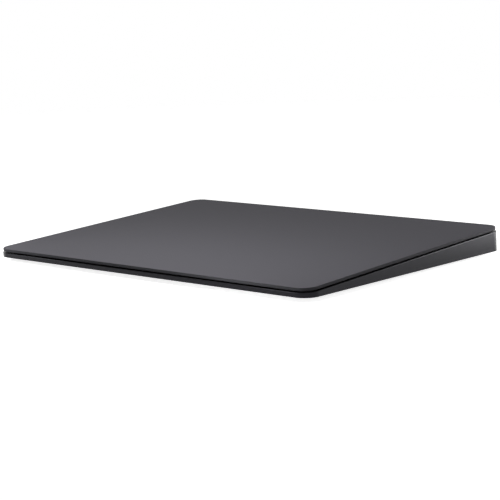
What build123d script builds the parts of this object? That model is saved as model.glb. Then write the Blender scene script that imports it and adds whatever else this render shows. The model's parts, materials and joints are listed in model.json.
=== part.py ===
from build123d import *
import os
from math import atan2, cos, sin, tan

os.makedirs("parts", exist_ok=True)

# A desktop trackpad: a wedge that stands on four feet, with a glass plate floating on force springs.
# X runs to the user's right, Y to the rear, Z up, with the origin under the middle at desk level.

# Overall sizes, with the two heights where the glass surface meets the depth
overall_width = 160.0
overall_depth = 114.9
front_height = 4.9
rear_height = 10.9

# Housing
corner_radius = 5.5
wall = 1.6
floor_thickness = 0.7
edge_height = 1.6
belly_inset = 5.2
belly_corner_radius = 1.6
rim_round = 0.18
rib_height = 0.4
rib_width = 0.9
rib_length = 84.0
rib_count = 4
rib_distance = 4.6
rib_front_gap = 8.0
window_margin = 1.5
window_corner_radius = 1.0

# Bottom cover, its tape and the feet
cover_lip = 1.2
cover_thickness = 0.6
cover_edge_chamfer = 0.15
cover_clearance = 0.1
cover_corner_radius = 2.4
tape_thickness = 0.1
tape_width = 5.0
foot_height = 0.7
foot_radius = 6.0
foot_seat_depth = 0.3
foot_seat_clearance = 0.15
foot_edge_chamfer = 0.25
foot_inset_x = 17.0
foot_inset_y = 16.0

# Glass plate with the sensor board bonded under it
glass_inset = 0.3
glass_thickness = 1.05
glass_top_round = 0.22
glass_bottom_chamfer = 0.1
rim_gap = 0.55
bond_thickness = 0.1
bond_border = 0.6
board_thickness = 0.7
board_border = 4.0
board_corner_radius = 3.0
controller_size = 7.0
controller_height = 0.7
controller_share_x = 0.05
controller_share_v = 0.24

# Foam gasket behind the gap
gasket_width = 0.9
gasket_height = 0.75
gasket_drop = 0.05

# Force springs: a steel leaf, its gel pad and its load pad at each corner
load_pad_size = 11.0
load_pad_thickness = 0.2
plate_corner_radius = 1.2
gel_size = 7.5
gel_thickness = 0.5
leaf_thickness = 0.4
leaf_root_length = 8.0
leaf_root_width = 13.0
leaf_waist_length = 7.5
leaf_waist_width = 6.0
leaf_end_size = 10.0
leaf_fillet = 0.8
leaf_side_gap = 1.4
leaf_edge_gap = 7.0
leaf_screw_distance = 8.0
gauge_length = 4.0
gauge_width = 3.0
gauge_thickness = 0.1

# Haptic drive: magnets under the plate and flat coils on a bracket
armature_margin = 2.5
armature_depth = 15.0
armature_thickness = 0.4
magnet_width = 16.0
magnet_depth = 11.0
magnet_thickness = 0.7
magnet_groove_width = 0.6
magnet_groove_depth = 0.3
magnet_distance = 19.0
coil_clearance = 0.15
coil_width = 17.0
coil_depth = 12.0
coil_thickness = 0.8
coil_winding = 3.2
coil_corner_radius = 2.4
coil_inner_radius = 0.6
bracket_screw_gap = 3.6
bracket_depth = 15.5
bracket_thickness = 0.3
bracket_hole_inset = 2.4
haptic_setback = 4.0

# Screws and their bosses
screw_shank_radius = 0.6
screw_head_radius = 1.15
screw_head_height = 0.3
screw_length = 0.8
screw_tip_gap = 0.1
screw_clearance = 0.08
boss_wall = 0.9

# Battery
battery_side_gap = 1.5
battery_gap = 1.4
battery_rear_gap = 4.4
battery_swell_gap = 0.55
battery_edge_chamfer = 0.8
battery_corner_radius = 1.6
battery_tape_width = 10.0
battery_tape_share = 0.27
protection_width = 3.2
protection_height = 1.1
protection_end_gap = 3.0

# Logic board and what stands on it
logic_width = 38.0
logic_thickness = 0.8
logic_corner_radius = 1.2
logic_gap = 1.0
logic_side_gap = 2.4
standoff_height = 1.1
standoff_inset = 2.6
standoff_gap = 3.8
shield_gap = 1.1
shield_depth = 17.0
shield_height = 1.4
shield_wall = 0.2
shield_share_y = 0.7
shield_vent_radius = 0.5
shield_vent_distance = 3.2
shield_vent_columns = 4
shield_vent_rows = 2
chip_size = 6.0
chip_height = 0.9
chip_small_size = 3.6
chip_row_share = 0.24
chip_distance = 8.6
chip_row_share_x = 0.3
antenna_length = 9.0
antenna_width = 2.0
antenna_height = 1.0
antenna_edge_gap = 0.8
socket_width = 6.8
socket_depth = 3.2
socket_height = 0.7
plug_width = 4.4
plug_depth = 3.0
plug_edge_gap = 0.8
plug_shares = {"gauge_left": 0.25, "gauge_right": 0.6, "port": 0.3}

# Flat ribbon cables
ribbon_thickness = 0.15
ribbon_width = 3.0
ribbon_bend_radius = 2.5
ribbon_lane_gap = 1.6
ribbon_end_gap = 0.6
touch_ribbon_width = 6.4
touch_ribbon_reach = 3.0
touch_ribbon_bend_share = 0.44
touch_ribbon_edge_gap = 3.0
touch_ribbon_gap = 2.0

# Charging port in the middle of the rear wall
port_mouth_width = 7.3
port_mouth_height = 2.1
port_mouth_chamfer = 0.2
port_body_width = 9.6
port_body_height = 3.8
port_body_length = 8.4
port_body_radius = 0.6
port_socket_depth = 7.2
port_drop_share = 0.5
contact_count = 8
contact_distance = 0.65
contact_width = 0.35
contact_length = 3.6
contact_height = 0.25
contact_setback = 2.0
strap_thickness = 0.4
strap_depth = 5.0
strap_boss_gap = 0.3

# Power switch in the rear wall
switch_side_distance = 23.0
slider_length = 4.6
slider_height = 2.2
slider_travel = 2.4
slider_clearance = 0.15
slider_recess = 0.2
slider_ridge_count = 3
slider_ridge_distance = 0.9
slider_ridge_width = 0.35
slider_ridge_height = 0.15
flange_thickness = 0.6
flange_height = 3.8
flange_overlap = 0.8
flange_radius = 0.5
flange_gap = 0.12
marker_thickness = 0.1
carrier_wall = 0.7
nub_length = 1.2
nub_height = 1.0
nub_clearance = 0.08
nub_reach = 0.9
switch_body_length = 8.4
switch_body_height = 3.2
switch_body_depth = 1.5

# How far the plate travels when it is pressed
press_travel = 0.25

# Deck: the sloping plane of the glass surface, and what follows it
slope = atan2(rear_height - front_height, overall_depth)
rim_drop = glass_thickness + rim_gap
wall_lean = (rear_height - rim_drop - edge_height) * tan(slope)
deck_length = (overall_depth - wall_lean) / cos(slope)
mid_height = (front_height + rear_height) / 2
deck_y = -wall_lean / 2 - rim_drop * sin(slope)
deck = Plane(origin=(0, deck_y, mid_height), x_dir=(1, 0, 0), z_dir=(0, -sin(slope), cos(slope)))
deck_axis = Axis(deck.origin, deck.z_dir)
rim_plane = deck.offset(-rim_drop)
floor_top = foot_height + cover_thickness + tape_thickness + floor_thickness
floor_plane = Plane.XY.offset(floor_top)
inner_width = overall_width - 2 * wall
inner_length = deck_length - 2 * wall
inner_radius = corner_radius - wall
belly_width = overall_width - 2 * belly_inset
belly_depth = overall_depth - 2 * belly_inset
bevel_growth = (rear_height - foot_height) / (edge_height - foot_height)
cover_width = belly_width - 2 * (cover_lip + cover_clearance)
cover_depth = belly_depth - 2 * (cover_lip + cover_clearance)
glass_width = overall_width - 2 * glass_inset
glass_length = deck_length - 2 * glass_inset
glass_corner_radius = corner_radius - glass_inset
board_width = glass_width - 2 * board_border
board_length = glass_length - 2 * board_border
rib_y = rib_distance * (rib_count - 1) / 2 + wall + rib_front_gap - overall_depth / 2


def deck_height(y, drop):
    """Height above the desk of the plane that lies drop below the glass surface, at depth y."""
    return mid_height - drop * cos(slope) + (y - deck_y - drop * sin(slope)) * tan(slope)


def desk_y(v, drop):
    """Depth y of a point v along the deck and drop below the glass surface."""
    return deck_y + v * cos(slope) + drop * sin(slope)


def deck_v(y, drop):
    """Distance v along the deck of a point at depth y and drop below the glass surface."""
    return (y - deck_y - drop * sin(slope)) / cos(slope)


def floor_y(v):
    """Depth y at which a line square to the deck at v meets the floor."""
    return desk_y(v, (mid_height + v * sin(slope) - floor_top) / cos(slope))


def save(builder, name):
    """Labels a finished piece and writes it to its own file."""
    builder.part.label = name
    export_step(builder.part, f"parts/{name}.step")


# Levels of the stack under the glass surface
board_top = glass_thickness + bond_thickness
board_bottom = board_top + board_thickness
gel_top = board_bottom + load_pad_thickness
leaf_top = gel_top + gel_thickness
leaf_bottom = leaf_top + leaf_thickness
magnet_top = board_bottom + armature_thickness
coil_top = magnet_top + magnet_thickness + press_travel + coil_clearance
bracket_top = coil_top + coil_thickness
bracket_bottom = bracket_top + bracket_thickness

# Middle of the power switch
switch_x = overall_width / 2 - switch_side_distance

# Places of the four force springs, by corner
leaf_root_x = inner_width / 2 - leaf_side_gap - leaf_root_length / 2
leaf_waist_x = leaf_root_x - leaf_root_length / 2 - leaf_waist_length / 2
leaf_end_x = leaf_waist_x - leaf_waist_length / 2 - leaf_end_size / 2
leaf_v = inner_length / 2 - leaf_edge_gap - leaf_root_width / 2
corners = {
    "front_left": (-1, -1),
    "front_right": (1, -1),
    "rear_left": (-1, 1),
    "rear_right": (1, 1),
}
foot_points = {
    corner: (sx * (overall_width / 2 - foot_inset_x), sy * (overall_depth / 2 - foot_inset_y))
    for corner, (sx, sy) in corners.items()
}
leaf_screw_points = [
    (sx * leaf_root_x, sy * leaf_v + end * leaf_screw_distance / 2)
    for sx, sy in corners.values()
    for end in (-1, 1)
]

# Haptic drive, across the middle of the deck
haptic_v = -haptic_setback
armature_width = magnet_distance + magnet_width + 2 * armature_margin
bracket_hole_x = magnet_distance / 2 + coil_width / 2 + bracket_screw_gap
bracket_width = 2 * (bracket_hole_x + bracket_hole_inset)
bracket_points = [(sx * bracket_hole_x, haptic_v) for sx in (-1, 1)]
bracket_seat = deck.offset(-bracket_bottom)
boss_radius = screw_shank_radius + screw_clearance + boss_wall

# Rear wall: a plane on its outer face, with its own X to the left and Y up the wall
port_drop = (rear_height - rim_drop - floor_top) * port_drop_share
rear_centre = rim_plane.from_local_coords(Vector(0, deck_length / 2, -port_drop))
rear = Plane(origin=rear_centre, x_dir=(-1, 0, 0), z_dir=(0, cos(slope), sin(slope)))
port_v = deck_length / 2 - wall - port_body_length / 2
strap_plane = rim_plane.offset(port_body_height / 2 - port_drop)
strap_hole_x = port_body_width / 2 + strap_boss_gap + boss_radius
strap_points = [(-strap_hole_x, port_v), (strap_hole_x, port_v)]

# Battery bay: between the left force springs, the haptic drive, the port and the logic board
leaf_inner_x = leaf_root_x - leaf_root_length / 2
port_front_y = floor_y(deck_length / 2 - wall - port_body_length)
battery_front = floor_y(haptic_v + bracket_depth / 2) + battery_gap
battery_rear = port_front_y - battery_rear_gap
battery_depth = battery_rear - battery_front
logic_right = leaf_inner_x - logic_side_gap
logic_left = logic_right - logic_width
logic_x = (logic_left + logic_right) / 2
protection_right = logic_left - logic_gap
battery_left = -leaf_inner_x + battery_side_gap
battery_right = protection_right - protection_width
battery_width = battery_right - battery_left
battery_x = (battery_left + battery_right) / 2
battery_y = (battery_front + battery_rear) / 2
battery_bottom = floor_top + tape_thickness
battery_thickness = deck_height(battery_front, board_bottom) - battery_swell_gap - battery_bottom
protection_x = (battery_right + protection_right) / 2

# Logic board bay, as deep as the battery
logic_bottom = floor_top + standoff_height
logic_top = logic_bottom + logic_thickness
antenna_x = logic_right - antenna_edge_gap - antenna_width / 2
antenna_y = battery_front + antenna_edge_gap + antenna_length / 2
standoff_front_y = antenna_y + antenna_length / 2 + standoff_gap
standoff_points = [
    (x, y)
    for x in (logic_left + standoff_inset, logic_right - standoff_inset)
    for y in (standoff_front_y, battery_rear - standoff_inset)
]
touch_x = logic_right - touch_ribbon_edge_gap - touch_ribbon_width / 2
shield_left = logic_left + 2 * standoff_inset
shield_right = touch_x - socket_width / 2 - shield_gap
shield_width = shield_right - shield_left
shield_x = (shield_left + shield_right) / 2
shield_y = battery_front + battery_depth * shield_share_y
chip_row_y = battery_front + battery_depth * chip_row_share
touch_y = floor_y(leaf_v - load_pad_size / 2) - touch_ribbon_gap - touch_ribbon_reach
socket_y = touch_y + touch_ribbon_reach - socket_depth / 2

# Plugs under the logic board and the lanes of the ribbons that reach them
battery_lead_y = standoff_front_y + boss_radius + plug_edge_gap + plug_depth / 2
front_plug_y = battery_front + plug_edge_gap + plug_depth / 2
rear_plug_y = battery_rear - plug_edge_gap - plug_depth / 2
plug_points = {
    "gauge_left": (logic_left + logic_width * plug_shares["gauge_left"], front_plug_y),
    "gauge_right": (logic_left + logic_width * plug_shares["gauge_right"], front_plug_y),
    "port": (logic_left + logic_width * plug_shares["port"], rear_plug_y),
    "switch": (switch_x, rear_plug_y),
    "battery": (logic_left + plug_edge_gap + plug_width / 2, battery_lead_y),
}
gauge_lane_y = floor_y(haptic_v - bracket_depth / 2) - ribbon_lane_gap - ribbon_width / 2
ribbon_rear_y = floor_y(leaf_v - leaf_root_width / 2) - ribbon_end_gap
ribbon_front_y = floor_y(leaf_root_width / 2 - leaf_v) + ribbon_end_gap
ribbon_branch_length = gauge_lane_y + ribbon_bend_radius - ribbon_front_y
port_lane_y = port_front_y - ribbon_thickness / 2 - ribbon_width / 2
touch_ribbon_points = [
    (touch_y + reach, deck_height(touch_y + reach, board_bottom + socket_height + ribbon_thickness / 2))
    for reach in (touch_ribbon_reach, -touch_ribbon_reach)
] + [
    (touch_y + reach, logic_top + socket_height + ribbon_thickness / 2)
    for reach in (-touch_ribbon_reach, touch_ribbon_reach)
]
touch_fold_height = touch_ribbon_points[1][1] - touch_ribbon_points[2][1]

# Every set of screws: the seat they tighten on, their places and the thickness they clamp
screw_sets = {
    "flexure_screws": (deck.offset(-leaf_bottom), leaf_screw_points, leaf_thickness),
    "haptic_screws": (bracket_seat, bracket_points, bracket_thickness),
    "board_screws": (Plane.XY.offset(logic_bottom), standoff_points, logic_thickness),
    "port_screws": (strap_plane, strap_points, strap_thickness),
}

# Power switch: the slider rests at the off end, towards the middle of the wall
switch_slot_length = slider_length + slider_travel + 2 * slider_clearance
switch_slot_height = slider_height + 2 * slider_clearance
flange_length = switch_slot_length + slider_travel + 2 * flange_overlap
slider_rest = slider_travel / 2 - switch_x
flange_front = wall + flange_gap
flange_back = flange_front + flange_thickness
carrier_inner_back = flange_back + flange_gap
carrier_back = carrier_inner_back + carrier_wall
carrier_inner_length = flange_length + slider_travel + 2 * slider_clearance
carrier_inner_height = flange_height + 2 * slider_clearance
marker_length = slider_travel
marker_x = slider_rest + slider_length / 2 + slider_travel / 2 + slider_clearance
nub_slot_length = nub_length + slider_travel + 2 * nub_clearance
nub_slot_height = nub_height + 2 * nub_clearance
switch_ribbon_y = floor_y(deck_length / 2 - carrier_back - switch_body_depth) - ribbon_thickness / 2

# The hollow inside the walls, above the floor
with BuildPart() as cavity:
    with BuildSketch(rim_plane):
        RectangleRounded(inner_width, inner_length, inner_radius)
    extrude(amount=-rear_height)
    split(bisect_by=floor_plane, keep=Keep.TOP)

# Posts that rise to sloping seats, cut level inside the floor
with BuildPart() as sloping_posts:
    with BuildSketch(deck.offset(-leaf_bottom)):
        for sx, sy in corners.values():
            with Locations((sx * leaf_root_x, sy * leaf_v)):
                Rectangle(leaf_root_length, leaf_root_width)
    extrude(amount=-rear_height)
    for seat, points in ((bracket_seat, bracket_points), (strap_plane, strap_points)):
        with BuildSketch(seat):
            with Locations(*points):
                Circle(boss_radius)
        extrude(amount=-rear_height)
    with BuildSketch(strap_plane.offset(-port_body_height)):
        with Locations((0, port_v)):
            Rectangle(port_body_width, port_body_length)
    extrude(amount=-rear_height)
    split(bisect_by=floor_plane.offset(-floor_thickness / 2), keep=Keep.TOP)

# A block whose sides flare outwards along the bevel under the housing
with BuildPart() as bevel_block:
    with BuildSketch(Plane.XY.offset(foot_height)):
        RectangleRounded(belly_width, belly_depth, belly_corner_radius)
    with BuildSketch(Plane.XY.offset(rear_height)):
        RectangleRounded(
            belly_width + 2 * belly_inset * bevel_growth,
            belly_depth + 2 * belly_inset * bevel_growth,
            belly_corner_radius + (corner_radius - belly_corner_radius) * bevel_growth,
        )
    loft(ruled=True)

# Housing: a machined aluminium wedge, its walls square to the deck
with BuildPart() as housing:
    with BuildSketch(rim_plane):
        RectangleRounded(overall_width, deck_length, corner_radius)
    extrude(amount=-rear_height)
    fillet(housing.faces().sort_by(deck_axis)[-1].edges(), radius=rim_round)
    add(bevel_block.part, mode=Mode.INTERSECT)
    add(cavity.part, mode=Mode.SUBTRACT)
    add(sloping_posts.part)
    with BuildSketch(floor_plane):
        with Locations(*standoff_points):
            Circle(boss_radius)
    extrude(amount=standoff_height)
    # Low ribs stiffen the thin front of the floor
    with BuildSketch(floor_plane):
        with Locations((0, rib_y)):
            with GridLocations(0, rib_distance, 1, rib_count):
                Rectangle(rib_length, rib_width)
    extrude(amount=rib_height)
    # Shallow recess for the bottom cover, and the radio window below the antenna
    with BuildSketch(Plane.XY.offset(foot_height)):
        RectangleRounded(
            cover_width + 2 * cover_clearance,
            cover_depth + 2 * cover_clearance,
            cover_corner_radius + cover_clearance,
        )
    extrude(amount=cover_thickness + tape_thickness, mode=Mode.SUBTRACT)
    with BuildSketch(floor_plane):
        with Locations((antenna_x, antenna_y)):
            RectangleRounded(
                antenna_width + 2 * window_margin,
                antenna_length + 2 * window_margin,
                window_corner_radius,
            )
    extrude(amount=-floor_thickness, mode=Mode.SUBTRACT)
    # Blind holes for every set of screws
    for seat, points, clamped in screw_sets.values():
        with BuildSketch(seat):
            with Locations(*points):
                Circle(screw_shank_radius + screw_clearance)
        extrude(amount=-screw_length, mode=Mode.SUBTRACT)
    # Openings in the rear wall for the charging plug and the power slider
    with BuildSketch(rear):
        SlotOverall(port_mouth_width, port_mouth_height)
        with Locations((-switch_x, 0)):
            SlotOverall(switch_slot_length, switch_slot_height)
    extrude(amount=-wall, mode=Mode.SUBTRACT)
    with BuildSketch(rear):
        SlotOverall(port_mouth_width + 2 * port_mouth_chamfer, port_mouth_height + 2 * port_mouth_chamfer)
    extrude(amount=-port_mouth_chamfer, taper=45, mode=Mode.SUBTRACT)
save(housing, "housing")

# Bottom cover with a round pocket for each foot
with BuildPart() as bottom_cover:
    with BuildSketch(Plane.XY.offset(foot_height)):
        RectangleRounded(cover_width, cover_depth, cover_corner_radius)
    extrude(amount=cover_thickness)
    chamfer(bottom_cover.faces().sort_by(Axis.Z)[0].edges(), length=cover_edge_chamfer)
    with BuildSketch(Plane.XY.offset(foot_height)):
        with Locations(*foot_points.values()):
            Circle(foot_radius + foot_seat_clearance)
    extrude(amount=foot_seat_depth, mode=Mode.SUBTRACT)
save(bottom_cover, "bottom_cover")

# Adhesive frame between the cover and the housing
with BuildPart() as cover_tape:
    with BuildSketch(Plane.XY.offset(foot_height + cover_thickness)):
        RectangleRounded(cover_width, cover_depth, cover_corner_radius)
        Rectangle(cover_width - 2 * tape_width, cover_depth - 2 * tape_width, mode=Mode.SUBTRACT)
    extrude(amount=tape_thickness)
save(cover_tape, "cover_tape")

# Rubber feet, chamfered where they meet the desk
for corner, point in foot_points.items():
    with BuildPart() as foot:
        with BuildSketch():
            with Locations(point):
                Circle(foot_radius)
        extrude(amount=foot_height + foot_seat_depth)
        chamfer(foot.faces().sort_by(Axis.Z)[0].edges(), length=foot_edge_chamfer)
    save(foot, f"foot_{corner}")

# Glass plate, ground round on its top edge
with BuildPart() as touch_glass:
    with BuildSketch(deck):
        RectangleRounded(glass_width, glass_length, glass_corner_radius)
    extrude(amount=-glass_thickness)
    fillet(touch_glass.faces().sort_by(deck_axis)[-1].edges(), radius=glass_top_round)
    chamfer(touch_glass.faces().sort_by(deck_axis)[0].edges(), length=glass_bottom_chamfer)
save(touch_glass, "touch_glass")

# Bond film and sensor board under the glass
with BuildPart() as bond_film:
    with BuildSketch(deck.offset(-glass_thickness)):
        RectangleRounded(board_width - 2 * bond_border, board_length - 2 * bond_border, board_corner_radius)
    extrude(amount=-bond_thickness)
save(bond_film, "bond_film")

with BuildPart() as sensor_board:
    with BuildSketch(deck.offset(-board_top)):
        RectangleRounded(board_width, board_length, board_corner_radius)
    extrude(amount=-board_thickness)
save(sensor_board, "sensor_board")

with BuildPart() as touch_controller:
    with BuildSketch(deck.offset(-board_bottom)):
        with Locations((board_width * controller_share_x, board_length * controller_share_v)):
            Rectangle(controller_size, controller_size)
    extrude(amount=-controller_height)
save(touch_controller, "touch_controller")

with BuildPart() as sensor_connector:
    with BuildSketch(deck.offset(-board_bottom)):
        with Locations((touch_x, deck_v(socket_y, board_bottom))):
            Rectangle(socket_width, socket_depth)
    extrude(amount=-socket_height)
save(sensor_connector, "sensor_connector")

# Foam gasket behind the gap
with BuildPart() as rim_gasket:
    with BuildSketch(rim_plane.offset(-gasket_drop)):
        RectangleRounded(inner_width, inner_length, inner_radius)
        RectangleRounded(
            inner_width - 2 * gasket_width,
            inner_length - 2 * gasket_width,
            inner_radius - gasket_width,
            mode=Mode.SUBTRACT,
        )
    extrude(amount=-gasket_height)
save(rim_gasket, "rim_gasket")

# Force springs: from the sensor board down, a load pad, a gel pad and a steel leaf at each corner
for corner, (sx, sy) in corners.items():
    with BuildPart() as load_pad:
        with BuildSketch(deck.offset(-board_bottom)):
            with Locations((sx * leaf_end_x, sy * leaf_v)):
                Rectangle(load_pad_size, load_pad_size)
        extrude(amount=-load_pad_thickness)
    save(load_pad, f"load_pad_{corner}")

    with BuildPart() as gel_pad:
        with BuildSketch(deck.offset(-gel_top)):
            with Locations((sx * leaf_end_x, sy * leaf_v)):
                Rectangle(gel_size, gel_size)
        extrude(amount=-gel_thickness)
    save(gel_pad, f"gel_pad_{corner}")

    half_outline = [
        (leaf_root_x + leaf_root_length / 2, leaf_root_width / 2),
        (leaf_inner_x, leaf_root_width / 2),
        (leaf_inner_x, leaf_waist_width / 2),
        (leaf_end_x + leaf_end_size / 2, leaf_waist_width / 2),
        (leaf_end_x + leaf_end_size / 2, leaf_end_size / 2),
        (leaf_end_x - leaf_end_size / 2, leaf_end_size / 2),
    ]
    outline = half_outline + [(x, -v) for x, v in reversed(half_outline)]
    with BuildPart() as flexure:
        with BuildSketch(deck.offset(-leaf_top)) as leaf_outline:
            with BuildLine():
                Polyline(*[(sx * x, sy * leaf_v + v) for x, v in outline], close=True)
            make_face()
            rows = leaf_outline.vertices().group_by(Axis.Y)
            fillet(rows[2] + rows[3], radius=leaf_fillet)
            for end in (-1, 1):
                with Locations((sx * leaf_root_x, sy * leaf_v + end * leaf_screw_distance / 2)):
                    Circle(screw_shank_radius + screw_clearance, mode=Mode.SUBTRACT)
        extrude(amount=-leaf_thickness)
    save(flexure, f"flexure_{corner}")

with BuildPart() as strain_gauges:
    with BuildSketch(deck.offset(-leaf_top)):
        for sx, sy in corners.values():
            with Locations((sx * leaf_waist_x, sy * leaf_v)):
                Rectangle(gauge_length, gauge_width)
    extrude(amount=gauge_thickness)
save(strain_gauges, "strain_gauges")

# Haptic drive: the armature and magnets hang from the plate, the coils stand still on a bracket
with BuildPart() as armature_plate:
    with BuildSketch(deck.offset(-board_bottom)):
        with Locations((0, haptic_v)):
            RectangleRounded(armature_width, armature_depth, plate_corner_radius)
    extrude(amount=-armature_thickness)
save(armature_plate, "armature_plate")

with BuildPart() as haptic_bracket:
    with BuildSketch(deck.offset(-bracket_top)):
        with Locations((0, haptic_v)):
            RectangleRounded(bracket_width, bracket_depth, plate_corner_radius)
        with Locations(*bracket_points):
            Circle(screw_shank_radius + screw_clearance, mode=Mode.SUBTRACT)
    extrude(amount=-bracket_thickness)
save(haptic_bracket, "haptic_bracket")

for side, sx in (("left", -1), ("right", 1)):
    centre = (sx * magnet_distance / 2, haptic_v)
    with BuildPart() as magnet:
        with BuildSketch(deck.offset(-magnet_top)):
            with Locations(centre):
                Rectangle(magnet_width, magnet_depth)
        extrude(amount=-magnet_thickness)
        with BuildSketch(deck.offset(-magnet_top - magnet_thickness)):
            with Locations(centre):
                Rectangle(magnet_groove_width, magnet_depth)
        extrude(amount=magnet_groove_depth, mode=Mode.SUBTRACT)
    save(magnet, f"magnet_{side}")

    with BuildPart() as coil:
        with BuildSketch(deck.offset(-coil_top)):
            with Locations(centre):
                RectangleRounded(coil_width, coil_depth, coil_corner_radius)
                RectangleRounded(
                    coil_width - 2 * coil_winding,
                    coil_depth - 2 * coil_winding,
                    coil_inner_radius,
                    mode=Mode.SUBTRACT,
                )
        extrude(amount=-coil_thickness)
    save(coil, f"coil_{side}")

# Screws: each set shares one seat plane, with a shank that goes through the clamped piece
for name, (seat, points, clamped) in screw_sets.items():
    with BuildPart() as screws:
        with BuildSketch(seat.offset(clamped)):
            with Locations(*points):
                Circle(screw_head_radius)
        extrude(amount=screw_head_height)
        with BuildSketch(seat.offset(clamped)):
            with Locations(*points):
                Circle(screw_shank_radius)
        extrude(amount=screw_tip_gap - screw_length - clamped)
    save(screws, name)

# Battery cell on three strips of tape, with its protection board alongside
with BuildPart() as battery_cell:
    with BuildSketch(Plane.XY.offset(battery_bottom)):
        with Locations((battery_x, battery_y)):
            RectangleRounded(battery_width, battery_depth, battery_corner_radius)
    extrude(amount=battery_thickness)
    for end in (-1, 0):
        chamfer(battery_cell.faces().sort_by(Axis.Z)[end].edges(), length=battery_edge_chamfer)
save(battery_cell, "battery_cell")

with BuildPart() as battery_tape:
    with BuildSketch(floor_plane):
        with Locations((battery_x, battery_y)):
            with GridLocations(battery_width * battery_tape_share, 0, 3, 1):
                Rectangle(battery_tape_width, battery_depth - 2 * protection_end_gap)
    extrude(amount=tape_thickness)
save(battery_tape, "battery_tape")

with BuildPart() as battery_board:
    with BuildSketch(floor_plane):
        with Locations((protection_x, battery_y)):
            Rectangle(protection_width, battery_depth - 2 * protection_end_gap)
    extrude(amount=protection_height)
save(battery_board, "battery_board")

with BuildPart() as battery_lead:
    with BuildSketch(floor_plane):
        with Locations((protection_right, battery_lead_y)):
            Rectangle(logic_gap + plug_edge_gap + plug_width, plug_depth, align=(Align.MIN, Align.CENTER))
    extrude(amount=ribbon_thickness)
save(battery_lead, "battery_lead")

# Logic board with a shield can, chips, plugs underneath and a radio antenna
with BuildPart() as logic_board:
    with BuildSketch(Plane.XY.offset(logic_bottom)):
        with Locations((logic_x, battery_y)):
            RectangleRounded(logic_width, battery_depth, logic_corner_radius)
        with Locations(*standoff_points):
            Circle(screw_shank_radius + screw_clearance, mode=Mode.SUBTRACT)
    extrude(amount=logic_thickness)
save(logic_board, "logic_board")

with BuildPart() as board_shield:
    with BuildSketch(Plane.XY.offset(logic_top)):
        with Locations((shield_x, shield_y)):
            Rectangle(shield_width, shield_depth)
    extrude(amount=shield_height)
    fillet(board_shield.faces().sort_by(Axis.Z)[-1].edges(), radius=shield_wall)
    with BuildSketch(Plane.XY.offset(logic_top)):
        with Locations((shield_x, shield_y)):
            Rectangle(shield_width - 2 * shield_wall, shield_depth - 2 * shield_wall)
    extrude(amount=shield_height - shield_wall, mode=Mode.SUBTRACT)
    with BuildSketch(Plane.XY.offset(logic_top + shield_height)):
        with Locations((shield_x, shield_y)):
            with GridLocations(shield_vent_distance, shield_vent_distance, shield_vent_columns, shield_vent_rows):
                Circle(shield_vent_radius)
    extrude(amount=-shield_wall, mode=Mode.SUBTRACT)
save(board_shield, "board_shield")

with BuildPart() as board_chips:
    with BuildSketch(Plane.XY.offset(logic_top)):
        with Locations((shield_x, shield_y)):
            with GridLocations(chip_distance, 0, 2, 1):
                Rectangle(chip_size, chip_size)
        with Locations((logic_left + logic_width * chip_row_share_x, chip_row_y)):
            with GridLocations(chip_distance, 0, 2, 1):
                Rectangle(chip_small_size, chip_small_size)
        with Locations((logic_x + chip_distance, chip_row_y)):
            Rectangle(chip_size, chip_size)
    extrude(amount=chip_height)
save(board_chips, "board_chips")

with BuildPart() as board_plugs:
    with BuildSketch(Plane.XY.offset(logic_bottom)):
        with Locations(*plug_points.values()):
            Rectangle(plug_width, plug_depth)
    extrude(amount=ribbon_thickness - standoff_height)
save(board_plugs, "board_plugs")

with BuildPart() as board_socket:
    with BuildSketch(Plane.XY.offset(logic_top)):
        with Locations((touch_x, socket_y)):
            Rectangle(socket_width, socket_depth)
    extrude(amount=socket_height)
save(board_socket, "board_socket")

with BuildPart() as antenna:
    with BuildSketch(Plane.XY.offset(logic_top)):
        with Locations((antenna_x, antenna_y)):
            Rectangle(antenna_width, antenna_length)
    extrude(amount=antenna_height)
save(antenna, "antenna")

# Charging port: a steel shell against the rear wall, held down by a strap
with BuildPart() as charging_port_shell:
    with BuildSketch(rear.offset(-wall)):
        RectangleRounded(port_body_width, port_body_height, port_body_radius)
    extrude(amount=-port_body_length)
    with BuildSketch(rear.offset(-wall)):
        SlotOverall(port_mouth_width, port_mouth_height)
    extrude(amount=-port_socket_depth, mode=Mode.SUBTRACT)
save(charging_port_shell, "charging_port_shell")

with BuildPart() as port_contacts:
    with BuildSketch(rear.offset(-wall - contact_setback)):
        with Locations((0, (contact_height - port_mouth_height) / 2)):
            with GridLocations(contact_distance, 0, contact_count, 1):
                Rectangle(contact_width, contact_height)
    extrude(amount=-contact_length)
save(port_contacts, "port_contacts")

with BuildPart() as port_strap:
    with BuildSketch(strap_plane):
        with Locations((0, port_v)):
            SlotOverall(2 * (strap_hole_x + boss_radius), strap_depth)
        with Locations(*strap_points):
            Circle(screw_shank_radius + screw_clearance, mode=Mode.SUBTRACT)
    extrude(amount=strap_thickness)
save(port_strap, "port_strap")

# Power switch: a slider in the rear wall with a flange behind it, guided by a carrier
with BuildPart() as power_slider:
    with BuildSketch(rear.offset(-slider_recess)):
        with Locations((slider_rest, 0)):
            SlotOverall(slider_length, slider_height)
    extrude(amount=slider_recess - flange_front)
    with BuildSketch(rear.offset(-slider_recess)):
        with Locations((slider_rest, 0)):
            with GridLocations(slider_ridge_distance, 0, slider_ridge_count, 1):
                Rectangle(slider_ridge_width, slider_height - 2 * flange_radius)
    extrude(amount=slider_ridge_height)
    with BuildSketch(rear.offset(-flange_front)):
        with Locations((slider_rest, 0)):
            RectangleRounded(flange_length, flange_height, flange_radius)
    extrude(amount=-flange_thickness)
    with BuildSketch(rear.offset(-flange_front)):
        with Locations((marker_x, 0)):
            Rectangle(marker_length, slider_height)
    extrude(amount=-marker_thickness, mode=Mode.SUBTRACT)
save(power_slider, "power_slider")

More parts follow.
